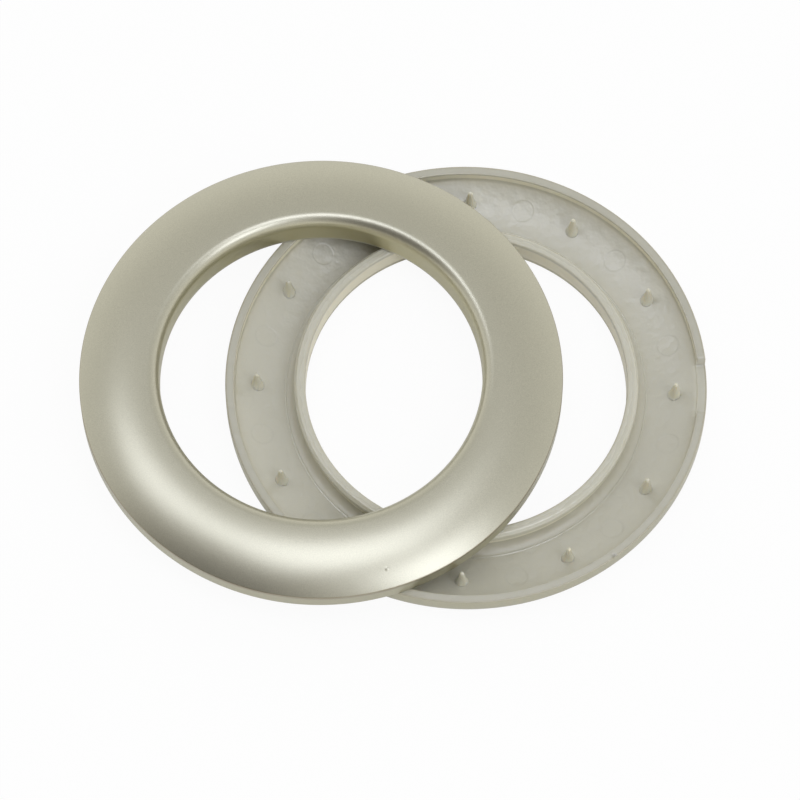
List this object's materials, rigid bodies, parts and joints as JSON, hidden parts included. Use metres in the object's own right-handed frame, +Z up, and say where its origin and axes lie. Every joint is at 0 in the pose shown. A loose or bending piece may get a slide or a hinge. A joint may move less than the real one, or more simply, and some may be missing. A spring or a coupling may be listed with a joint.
{
  "type": "grommet eyelet",
  "caption": "Snap-together curtain grommet laid open: domed face ring resting on the hollow back ring with cloth spikes and a prising notch.",
  "frame": {"origin": "centre of the footprint of the two rings as laid down, on the surface that carries them", "axes": "+Z up along both bore axes, +X from the front half towards the back half, the longest way across the pair"},
  "size_m": [0.13, 0.1006, 0.0153],
  "materials": {
    "satin_champagne": "satin metallic paint in pale champagne over moulded plastic",
    "bare_moulding": "bare off-white moulded plastic inside, satin champagne paint outside"
  },
  "bodies": {
    "root": {"front_ring": "satin_champagne", "back_ring": "bare_moulding"}
  },
  "joints": []
}
